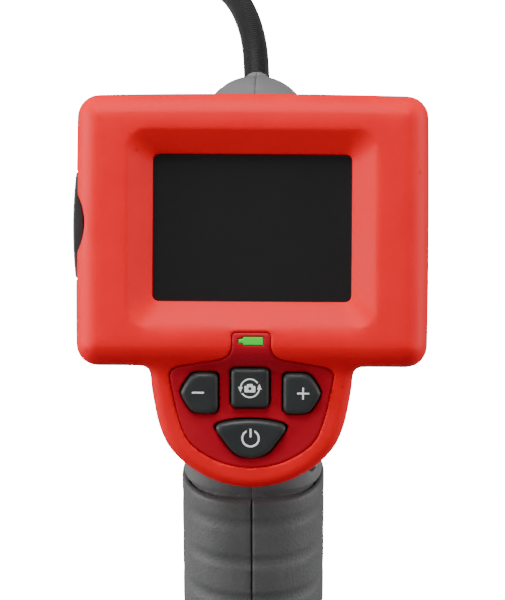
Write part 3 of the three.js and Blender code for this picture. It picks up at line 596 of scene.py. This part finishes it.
def add_tie(name, degrees, strands, node):
    """A woven strap in a closed loop, with its edges bevelled."""
    angle = math.radians(degrees)
    outward = np.array((math.cos(angle), math.sin(angle), 0))
    across = np.array((-math.sin(angle), math.cos(angle), 0))
    inner, outer, half = CABLE_RADIUS + 0.15, CABLE_RADIUS + 1.0, 4.5
    edge = half + 0.2
    section = [(inner, -half), (inner, half), (inner + 0.15, edge), (outer - 0.15, edge)]
    section += [(outer, half), (outer, 0), (outer, -half), (outer - 0.15, -edge), (inner + 0.15, -edge)]
    loops = [tie_outline(strands, reach) for reach, _ in section]
    points = []
    for loop, (_, shift) in zip(loops, section):
        for radius, height in loop:
            points.append(np.array(COIL) + outward * radius + across * shift + np.array((0, 0, height)))
    count, sides = len(section), len(loops[0])
    faces = []
    for i in range(count):
        for j in range(sides):
            a, b = i * sides + j, i * sides + (j + 1) % sides
            c, d = ((i + 1) % count) * sides + (j + 1) % sides, ((i + 1) % count) * sides + j
            faces.append([a, b, c, d])
    return add_piece(name, np.array(points), faces, WORLD, STRAP, "root", (node,))


def add_ties():
    pair = [(OUTER_TURN, GROUND_LAYER), (INNER_TURN, GROUND_LAYER)]
    first = add_tie("coil_tie_1", 45, pair, "cable_tie_1")
    second = add_tie("coil_tie_2", 225, pair + [(TOP_TURN, TOP_LAYER)], "cable_tie_2")
    return [first, second]


TIES = add_ties()


# ---- Display head ----------------------------------------------------------------------------------
def display_block(x, y):
    """Outline of the display's surround: a rounded rectangle whose sides and top are slightly bowed."""
    width = np.abs(x) + 0.3 * np.clip(np.abs(x) / 40, 0, 1) * (y / 34) ** 2
    rise = y + CROWN * np.clip(y / 30, 0, 1) * (x / BEZEL["half"]) ** 2
    middle = (BEZEL["high"] + BEZEL["low"]) / 2
    half_height = (BEZEL["high"] - BEZEL["low"]) / 2
    return rounded_rect(width, rise - middle, BEZEL["half"], half_height, BEZEL["corner"])


def tongue_outline(x, y):
    """Outline of the keypad's tongue in its own frame: straight flanks that close on a round foot."""
    flank = (np.abs(x) - 27.1 - 0.18 * y) * math.cos(math.atan(0.18))
    foot = np.hypot(x, y + 6) - 26.5
    return smooth_max(np.maximum(flank, y - 8), foot, 2.5)


def head_front(p):
    """Outer skin of the red bezel, open at its back."""
    x, y, z = p
    kx, ky, kz = in_frame(p, KEYPAD_IN_HEAD)
    block = round_max(display_block(x, y), z, BEZEL["edge"])
    tongue = round_max(tongue_outline(kx, ky), kz, 3.2)
    return smooth_min(block, tongue, 3.0)


def recess_space(p):
    """The funnel round the screen and the opening at its foot."""
    x, y, z = p
    high = z + RECESS["depth"]
    slope_x = (np.abs(x) - RECESS["half"] - RECESS["flare_x"] * high) / math.hypot(1, RECESS["flare_x"])
    slope_top = (y - RECESS["rise"] - RECESS["flare_top"] * high) / math.hypot(1, RECESS["flare_top"])
    slope_low = (-y - RECESS["rise"] - RECESS["flare_low"] * high) / math.hypot(1, RECESS["flare_low"])
    funnel = round_max(slope_x, np.maximum(slope_top, slope_low), 1.3 + 0.4 * np.clip(high, 0, 5))
    funnel = np.maximum(funnel, -RECESS["depth"] - z)
    opening = rounded_rect(x, y, RECESS["half"], RECESS["rise"], SCREEN_CORNER)
    return np.minimum(funnel, np.maximum(opening, z + RECESS["depth"] - 0.2))


def panel_outline(x, y):
    """Outline of the inset round the keys: a tab that flares into a body with a round foot."""
    tab = rounded_rect(x, y + 36.4, 5.05, 10, 1.2)
    flank = (np.abs(x) - 20.8 - 0.213 * (y + 39.4)) * math.cos(math.radians(12))
    foot = np.hypot(x, y + 38.3) - 23
    top = y + 33.5 + 0.167 * (np.abs(x) - 8.6)
    body = smooth_max(smooth_max(flank, foot, 2.5), top, 3.2)
    return smooth_min(tab, body, 3.5)


def battery_outline(x, y):
    body = rounded_rect(x - 0.5, y + 28.65, 2.5, 1.0, 0.2)
    nub = rounded_rect(x + 2.3, y + 28.65, 0.85, 0.45, 0.15)
    return smooth_min(body, nub, 0.5)


def arrow_key(x, y):
    slanted = (-3.9 * x + 2.7 * np.abs(y)) / 4.743 - 4.4
    block = smooth_max(np.maximum(x - 4.8, -x - 5.1), np.abs(y) - 5.3, 2.0)
    return smooth_max(block, slanted, 1.6)


def square_key(x, y):
    return rounded_rect(x, y, 4.9, 5.15, 1.4)


def power_key(x, y):
    top = np.hypot(x, y + 24) - 28.9
    flank = 0.80 * np.abs(x) - 0.60 * y - 5.95
    return smooth_max(smooth_max(top, flank, 2.4), -5.1 - y, 2.8)


KEYS = [
    dict(name="minus", x=-13.2, y=-7.3, outline=arrow_key, side=1),
    dict(name="plus", x=12.9, y=-7.3, outline=arrow_key, side=-1),
    dict(name="rotate", x=-0.3, y=-5.9, outline=square_key, side=1),
    dict(name="power", x=-0.1, y=-19.0, outline=power_key, side=1),
]
KEY_PROUD = 1.7


def key_holes(p):
    x, y, z = in_frame(p, KEYPAD_IN_HEAD)
    hole = None
    for key in KEYS:
        one = key["outline"](key["side"] * (x - key["x"]), y - key["y"]) - 0.35
        hole = one if hole is None else np.minimum(hole, one)
    return np.maximum(hole, -9 - z)


def port_spaces(p):
    """Pocket for the port's cover, the jack's hole behind it, and the finger scoop in front of it."""
    x, y, z = p
    side = -BEZEL["half"]
    slot = rounded_rect(y - PORT["y"], z - (PORT["front"] + PORT["back"]) / 2, PORT["half"], 5.8, 0.4)
    pocket = np.maximum(slot, x - side - PORT["pocket"])
    hole = np.maximum(np.hypot(y - PORT["y"], z - PORT["axis"]) - PORT["hole"], x - side - 10)
    scoop = np.maximum(np.hypot(x - SCOOP["x"], y - SCOOP["y"]) - SCOOP["radius"], SCOOP["floor"] - z)
    return np.minimum(pocket, hole), scoop


def screw_places(p, radius):
    x, y, _ = p
    return np.hypot(np.abs(x) - BEZEL_SCREW["x"], np.abs(y) - BEZEL_SCREW["y"]) - radius


def add_bezel():
    """The red bezel, with the pocket that the key panel is let into."""
    field = Field((-45, -68, -18.5), (45, 35, 0.5), 0.32, HEAD)
    x, y, z = field.p
    skin = head_front(field.p)
    recess = recess_space(field.p)
    panel = panel_outline(x, y)
    battery = battery_outline(x, y)
    holes = key_holes(field.p)
    port, scoop = port_spaces(field.p)
    backing = rounded_rect(y - PORT["y"], z + 10.5, PORT["half"] + 1.6, 7.5, 1)
    backing = np.maximum(backing, x + BEZEL["half"] - 4.6)
    boss = screw_places(field.p, BEZEL_SCREW["boss"])
    cavity = np.maximum(skin + SHELL, np.minimum(2.0 - recess, z + 6.0))
    cavity = np.maximum(np.maximum(cavity, -backing), -boss)
    shell = np.maximum(np.maximum(skin, -cavity), -BEZEL["depth"] - z)
    shell = round_max(shell, -recess, 0.25)
    shell = np.maximum(shell, -np.maximum(panel, -(skin + 0.9)))
    shell = np.maximum(shell, -np.minimum(holes, battery - 0.15))
    shell = round_max(shell, -np.minimum(port, scoop), 0.25)
    drilled = np.maximum(screw_places(field.p, BEZEL_SCREW["shaft"]), z + 8.5)
    shell = np.maximum(shell, -drilled)
    field.piece("red_bezel", shell, RED, "root", "red_shell", ("bezel",))


def add_panel():
    """The key panel, which follows the skin from the bezel's face down to the tongue."""
    field = Field((-21, -62, -11), (21, -26, 0), 0.27, HEAD)
    x, y, _ = field.p
    skin = head_front(field.p)
    outline = panel_outline(x, y)
    face = round_max(outline + 0.3, skin + 0.08, 0.3)
    rebate = np.maximum(outline + 0.02, skin + 0.36)
    inset = np.maximum(np.minimum(face, rebate), -(skin + 0.85))
    inset = np.maximum(inset, -np.minimum(key_holes(field.p), battery_outline(x, y) - 0.12))
    # Its material is the bezel's red darkened as painted shade.
    field.piece("key_panel", inset, SHADED_PANEL_RED, "root", "panel_red", ("button_panel",))


def add_battery_lens():
    field = Field((-3.4, -29.8, -3), (3.2, -27.5, 0), 0.1, HEAD)
    x, y, _ = field.p
    skin = head_front(field.p)
    lens = np.maximum(round_max(battery_outline(x, y), skin + 0.02, 0.15), -(skin + 1.6))
    field.piece("battery_lens", lens, GREEN, "root", "lens_green", ("battery_indicator",))


def add_keys():
    for key in KEYS:
        placed = KEYPAD @ Matrix.Translation((key["x"], key["y"], 0))
        field = Field((-10, -6, -4.6), (10, 6, KEY_PROUD), 0.25, placed)
        x, y, z = field.p
        cap = key["outline"](key["side"] * x, y)
        crown = z - KEY_PROUD + 0.0016 * (x * x + y * y)
        body = round_max(cap, crown, 1.25)
        body = np.maximum(body, -4.6 - z)
        name = f"{key['name']}_button"
        field.piece(f"{key['name']}_key", body, KEY_RUBBER, name, "key_rubber", (name,))


# ---- Symbols on the keys ---------------------------------------------------------------------------
def bar(x, y, half_x, half_y):
    return rounded_rect(x, y, half_x, half_y, min(half_x, half_y) * 0.6)


def ring(x, y, radius, half):
    return np.abs(np.hypot(x, y) - radius) - half


def minus_symbol(x, y):
    return bar(x + 0.3, y - 0.25, 1.55, 0.24)


def plus_symbol(x, y):
    return np.minimum(bar(x - 0.3, y - 0.2, 1.57, 0.23), bar(x - 0.3, y - 0.2, 0.23, 1.57))


def power_symbol(x, y):
    y = y - 0.2
    gap = np.maximum(np.abs(x) - 1.0, -y)
    return np.minimum(np.maximum(ring(x, y, 2.1, 0.25), -gap), bar(x, y - 1.4, 0.26, 1.12))


def turn_arrow(x, y):
    """Half of the rotate symbol: an arc over the top and an arrowhead at its left end."""
    sector = np.maximum(-y - 0.3, 0.55 * x - 0.83 * y)
    arc = np.maximum(ring(x, y, 2.35, 0.2), sector)
    edge = (np.abs(x + 2.4) - 0.4 * (y + 1.2)) / 1.08
    head = np.maximum(edge, y - 0.35)
    return np.minimum(arc, head)


def rotate_symbol(x, y):
    y = y - 0.1
    arrows = np.minimum(turn_arrow(x, y), turn_arrow(-x, -y))
    body = np.minimum(rounded_rect(x, y + 0.25, 1.4, 0.85, 0.25), rounded_rect(x, y - 0.55, 0.72, 0.55, 0.2))
    lens = np.hypot(x, y + 0.12) - 0.42
    return np.minimum(arrows, np.maximum(body, -lens))


SYMBOLS = {"minus": minus_symbol, "plus": plus_symbol, "rotate": rotate_symbol, "power": power_symbol}


def add_symbols():
    for key in KEYS:
        placed = KEYPAD @ Matrix.Translation((key["x"], key["y"], 0))
        field = Field((-3.4, -3.4, KEY_PROUD - 0.15), (3.4, 3.4, KEY_PROUD + 0.1), 0.06, placed)
        x, y, z = field.p
        drawn = SYMBOLS[key["name"]](x, y)
        height = z - KEY_PROUD + 0.0016 * (x * x + y * y)
        print_layer = np.maximum(drawn, np.abs(height) - 0.06)
        field.piece(f"{key['name']}_symbol", print_layer, KEY_PRINT, f"{key['name']}_button", adaptivity=0.01)


def add_port_cover():
    """A rubber cover that bows out of the bezel's side, with shallow grooves cut across its middle."""
    field = Field((-46.2, -14, -16), (-42, 15, -4.8), 0.22, HEAD)
    x, y, z = field.p
    side = -BEZEL["half"]
    across = y - PORT["y"]
    bow = PORT["bulge"] * (1 - (across / PORT["half"]) ** 2)
    low, high = PORT["back"] + 0.6, PORT["front"] - GAP
    plate = rounded_rect(across, z - (low + high) / 2, PORT["half"] - GAP, (high - low) / 2, 0.5)
    outside = side - bow - x
    cover = round_max(plate, outside, 0.7)
    cover = np.maximum(cover, x - side - PORT["pocket"] + GAP)
    grooves = np.abs(np.mod(z + 14, 2.4) - 1.2) - 0.3
    grooves = np.maximum(grooves, np.abs(across) - 7)
    grooves = np.maximum(np.maximum(grooves, -(outside + 0.35)), np.abs(z + 10.2) - 3.6)
    cover = np.maximum(cover, -grooves)
    field.piece("port_flap", cover, KEY_RUBBER, "port_cover", "key_rubber", ("port_cover",))


add_bezel()
add_panel()
add_battery_lens()
add_keys()
add_symbols()
add_port_cover()


# ---- Grey housing ----------------------------------------------------------------------------------
def rear_block(p, inset):
    """The back of the display head, from the bezel's back to its own rounded back."""
    x, y, z = in_frame(p, HEAD)
    outline = display_block(x, y) + REAR["inset"] + inset
    return round_max(round_max(outline, -REAR["depth"] - z + inset, REAR["edge"]), z + 16, 0.5)


def shoulder(p, inset):
    """Behind the keypad's tongue, where the head narrows into the handle."""
    x, y, z = in_frame(p, HEAD @ KEYPAD_IN_HEAD)
    return np.maximum(round_max(tongue_outline(x, y) + 1.6 + inset, -21 - z + inset, 4), z + 8)


def barrel(p, inset):
    x, y, z = in_frame(p, BARREL)
    tube = np.hypot(x, y) - BARREL_SIZE["radius"] + inset
    dome = np.sqrt(x * x + y * y + z * z) - BARREL_SIZE["radius"] + inset
    body = np.where(z < 0, tube, dome)
    return np.maximum(body, -BARREL_SIZE["back"] - z)


def neck(p, radius, end):
    x, y, z = in_frame(p, BARREL)
    return round_max(np.hypot(x, y) - radius, np.maximum(z - end, -z), 0.4)


def column(p, inset, low, high):
    """The handle's core. Just above the grips it flares at the sides and draws in at the front."""
    x, y, z = p
    above = z - HANDLE["top"]
    fade = np.clip(1 - above / 12, 0, 1)
    waist = 2.1 * np.where(above > 0, fade ** 1.5, np.clip(1 + above / 3, 0, 1)) * np.clip(-y / 12, 0, 1)
    flare = 1.6 * np.clip((above - 0.2) / 1.2, 0, 1) * fade
    outline = superellipse(x, y, CORE["half"] - inset + flare, CORE["depth"] - inset - waist)
    return np.maximum(outline, np.maximum(low - z, z - high))


def housing_skin(p):
    head = smooth_min(rear_block(p, 0), barrel(p, 0), 4)
    body = smooth_min(shoulder(p, 0), column(p, 0, CORE["bottom"], CORE["top"]), 5)
    return smooth_min(smooth_min(head, body, 7), neck(p, NECK["radius"], NECK["end"]), 1.6)


def housing_space(p):
    """Room inside the housing: the head, the handle above the battery bay, the bay, and the cable's bore."""
    x, y, z = p
    head = np.minimum(rear_block(p, WALL), barrel(p, WALL))
    body = column(p, WALL, BAY["top"] + BAY["partition"], CORE["top"])
    body = np.minimum(shoulder(p, WALL + 0.4), body)
    bay = np.maximum(rounded_rect(x, y, BAY["half"], BAY["half"], BAY["corner"]), z - BAY["top"])
    _, _, along = in_frame(p, BARREL)
    bore = np.maximum(neck(p, NECK["bore"], NECK["bore_end"]), 5 - along)
    return np.minimum(np.minimum(head, body), np.minimum(bay, bore))


def handle_screw_places(p, radius):
    _, y, z = p
    places = [np.hypot(y - sy, z - sz) - radius for sy, sz in HANDLE_SCREWS]
    return np.minimum(np.minimum(places[0], places[1]), places[2])


def add_housing():
    for name, side in (("left", -1), ("right", 1)):
        low, high = ((-45, -33, 9), (0.6, 60, 206)) if side < 0 else ((-0.6, -33, 9), (45, 60, 206))
        field = Field(low, high, 0.6)
        x = field.p[0]
        head = in_frame(field.p, HEAD)
        skin = housing_skin(field.p)
        rear_boss = np.maximum(screw_places(head, BEZEL_SCREW["boss"]), head[2] + REAR["parting"])
        bosses = np.minimum(rear_boss, handle_screw_places(field.p, 3.0))
        half = np.maximum(skin, -np.maximum(housing_space(field.p), -bosses))
        half = np.maximum(half, head[2] + REAR["parting"])
        half = np.maximum(half, -0.1 - side * x)
        deep = np.minimum(screw_places(head, 1.4), np.maximum(screw_places(head, 2.6), head[2] + 24))
        half = np.maximum(half, -np.maximum(deep, head[2] + 10))
        pins = np.maximum(handle_screw_places(field.p, 1.4), np.abs(x) - 8)
        access = np.maximum(handle_screw_places(field.p, 2.6), 5 - x)
        half = np.maximum(half, -np.minimum(pins, access))
        field.piece(f"housing_{name}_shell", half, GREY, "root", "grey_shell", (f"housing_{name}",), 0.05)


# ---- Grips, battery cap and latches ----------------------------------------------------------------
def rib_hollow(p):
    """Depth of the shallow hollows round the grip: full at the front and back, faint at the sides."""
    x, _, z = p
    facing = np.clip(1 - (np.abs(x) / HANDLE["half"]) ** 4, 0, 1)
    depth = 0.1 + 0.47 * facing
    middle = RIB["first"] - RIB["height"] / 2
    phase = np.mod(middle - z + RIB["pitch"] / 2, RIB["pitch"]) - RIB["pitch"] / 2
    profile = np.clip(1 - (phase / (RIB["height"] / 2)) ** 2, 0, 1) ** 0.7
    inside = (z > RIB["first"] - RIB["pitch"] * (RIB["count"] - 0.5)) & (z < RIB["first"] + 2)
    return depth * profile * inside


def add_grips():
    for name, side in (("left", -1), ("right", 1)):
        low, high = ((-19, -21, 8.4), (0, 21, 91)) if side < 0 else ((0, -21, 8.4), (19, 21, 91))
        field = Field(low, high, 0.42)
        x, y, z = field.p
        outer = superellipse(x, y, HANDLE["half"], HANDLE["depth"], GRIP_SQUARENESS) + rib_hollow(field.p)
        outer = round_max(outer, z - HANDLE["top"], 1.1)
        outer = round_max(outer, HANDLE["bottom"] - z, 0.5)
        outer = round_max(outer, 0.1 - side * x, 0.45)
        grip = np.maximum(outer, -column(field.p, -GAP, 0, 120))
        field.piece(f"grip_{name}_cover", grip, GRIP, "root", "grip_rubber", (f"grip_{name}",), 0.03)


def add_battery_cap():
    field = Field((-19, -21, 0), (19, 21, CAP["height"]), 0.4)
    x, y, z = field.p
    outer = superellipse(x, y, HANDLE["half"], HANDLE["depth"])
    outer = round_max(round_max(outer, -z, 1.2), z - CAP["height"], 0.4)
    sole = np.maximum(superellipse(x, y, 14.5, 16.5), z - 0.5)
    groove = np.maximum(np.abs(superellipse(x, y, 15.2, 17.2)) - 0.4, z - 0.45)
    inside = superellipse(x, y, HANDLE["half"] - WALL, HANDLE["depth"] - WALL)
    inside = np.maximum(inside, CAP["floor"] - z)
    post = np.maximum(rounded_rect(x, y, 5, 12, 1), 2 - z)
    window = rounded_rect(y, z - 4.5, 6.3, 2.8, 0.4)
    window = np.maximum(window, 14 - np.abs(x))
    cap = np.maximum(outer, -np.maximum(inside, -post))
    cap = np.maximum(np.maximum(cap, -window), -np.maximum(groove, -sole - 9))
    field.piece("battery_cap_shell", cap, BLACK, "battery_drawer", "black_plastic", ("battery_cap",))


def add_latches():
    for name, side in (("left", -1), ("right", 1)):
        low, high = ((-19.5, -6, 2.5), (-9, 6, 7.2)) if side < 0 else ((9, -6, 2.5), (19.5, 6, 7.2))
        field = Field(low, high, 0.22)
        x, y, z = field.p
        across = side * x
        ridge = 0.3 * np.clip(np.cos(2 * math.pi * y / 1.8) * 1.5, -1, 1) * (np.abs(y) < 4.6)
        tab = rounded_rect(y, z - LATCH["middle"], LATCH["half"], 2.05, 0.5)
        tab = round_max(tab, across - LATCH["proud"] - ridge, 0.4)
        tab = np.maximum(tab, LATCH["inner"] - across)
        foot = np.maximum(rounded_rect(y, z - 3.9, 4.5, 1.1, 0.2), np.maximum(9 - across, across - 16))
        node = f"latch_{name}"
        field.piece(f"{node}_tab", np.minimum(tab, foot), GREY, node, "grey_shell", (node,))


add_housing()
add_grips()
add_battery_cap()
add_latches()


# ---- Screws and cells ------------------------------------------------------------------------------
def add_screws():
    for i, (y, z) in enumerate(HANDLE_SCREWS):
        placed = Matrix.Translation((5.3, y, z)) @ Matrix.Rotation(math.pi / 2, 4, "Y")
        add_screw(f"handle_screw_{i + 1}_steel", placed, 11, f"handle_screw_{i + 1}")
    corners = [(side * BEZEL_SCREW["x"], rise * BEZEL_SCREW["y"]) for rise in (1, -1) for side in (-1, 1)]
    for i, (x, y) in enumerate(corners):
        placed = HEAD @ Matrix.Translation((x, y, BEZEL_SCREW["seat"])) @ Matrix.Rotation(math.pi, 4, "X")
        add_screw(f"bezel_screw_{i + 1}_steel", placed, 14, f"bezel_screw_{i + 1}")


def add_cells():
    """AA cells in the tray, every other one upside down."""
    radius, length, offset = CELL["radius"], CELL["length"], CELL["offset"]
    profile = [(0.05, 0), (5.2, 0), (5.4, 0.25), (6.7, 0.25), (radius, 0.6), (radius, 48.9)]
    profile += [(6.8, 49.3), (5.6, 49.4), (5.4, 49.0), (3.4, 49.0), (2.9, 49.3), (2.7, 49.6)]
    profile += [(2.7, length - 0.2), (2.5, length), (0.05, length)]
    places = [(-offset, -offset), (offset, -offset), (offset, offset), (-offset, offset)]
    for i, (x, y) in enumerate(places):
        placed = Matrix.Translation((x, y, CELL["bottom"]))
        if i % 2:
            placed = Matrix.Translation((x, y, CELL["bottom"] + length)) @ Matrix.Rotation(math.pi, 4, "X")
        node = f"cell_{i + 1}"
        turned(f"aa_{node}", profile, placed, SLEEVE, "battery_drawer", "cell_sleeve", (node,))


add_screws()
add_cells()


# ---- CAD nodes that keep their shape ---------------------------------------------------------------
KEPT = {
    "screen_window": SCREEN,
    "window_gasket": FOAM,
    "lcd_module": BLACK,
    "lcd_frame": STEEL,
    "main_board": BOARD,
    "keypad_board": BOARD,
    "status_led": CLEAR,
    "tv_out_jack": BLACK,
    "minus_switch": BLACK,
    "plus_switch": BLACK,
    "rotate_switch": BLACK,
    "power_switch": BLACK,
    "battery_tray": BLACK,
    "cap_seal": FOAM,
    "bay_contact_1": BRASS,
    "bay_contact_2": BRASS,
    "cable_anchor": BRASS,
    "cable_core": BLACK,
}
for node_name, material in KEPT.items():
    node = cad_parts[node_name]
    node.data.materials.clear()
    node.data.materials.append(material)


# ---- Floor and lights ------------------------------------------------------------------------------
def add_floor():
    """Pale, and bright to the eye without lighting the object from below."""
    material, tree, shader = start_material("pale_floor", 0.9)
    place = place_coordinates(tree)
    mottled_colour(tree, shader, place, (0.2, 0.2, 0.2), 0.01, 2)
    seen = tree.nodes.new("ShaderNodeLightPath")
    glow = add_node(tree, "ShaderNodeEmission", Strength=18.0)
    mix = tree.nodes.new("ShaderNodeMixShader")
    link(tree, seen.outputs["Is Camera Ray"], mix.inputs[0])
    link(tree, shader.outputs["BSDF"], mix.inputs[1])
    link(tree, glow.outputs["Emission"], mix.inputs[2])
    link(tree, mix.outputs["Shader"], tree.nodes["Material Output"].inputs["Surface"])
    mesh = bpy.data.meshes.new("floor")
    mesh.from_pydata([(-6, -6, 0), (6, -6, 0), (6, 8, 0), (-6, 8, 0)], [], [(0, 1, 2, 3)])
    mesh.materials.append(material)
    floor = bpy.data.objects.new("floor", mesh)
    bpy.context.scene.collection.objects.link(floor)


def add_light(name, place, power, size):
    """A square soft light that faces the display head."""
    data = bpy.data.lights.new(name, "AREA")
    data.energy = power
    data.size = size
    lamp = bpy.data.objects.new(name, data)
    lamp.location = place
    aim = Vector((0, 0, 0.15)) - Vector(place)
    lamp.rotation_euler = aim.to_track_quat("-Z", "Y").to_euler()
    bpy.context.scene.collection.objects.link(lamp)


def add_world():
    world = bpy.data.worlds.new("studio")
    world.use_nodes = True
    background = world.node_tree.nodes["Background"]
    background.inputs["Color"].default_value = (1, 1, 1, 1)
    background.inputs["Strength"].default_value = 0.2
    bpy.context.scene.world = world


add_floor()
add_world()
add_light("top_front", (-0.15, -0.3, 1.33), 17, 0.8)
add_light("top_back", (-0.35, 0.12, 1.3), 7, 0.8)
add_light("low_left", (-1.1, -0.3, 0.3), 9, 0.5)
add_light("left", (-1.25, 0.15, 0.4), 9, 0.8)
add_light("right", (1.2, 0.0, 0.39), 13, 0.8)
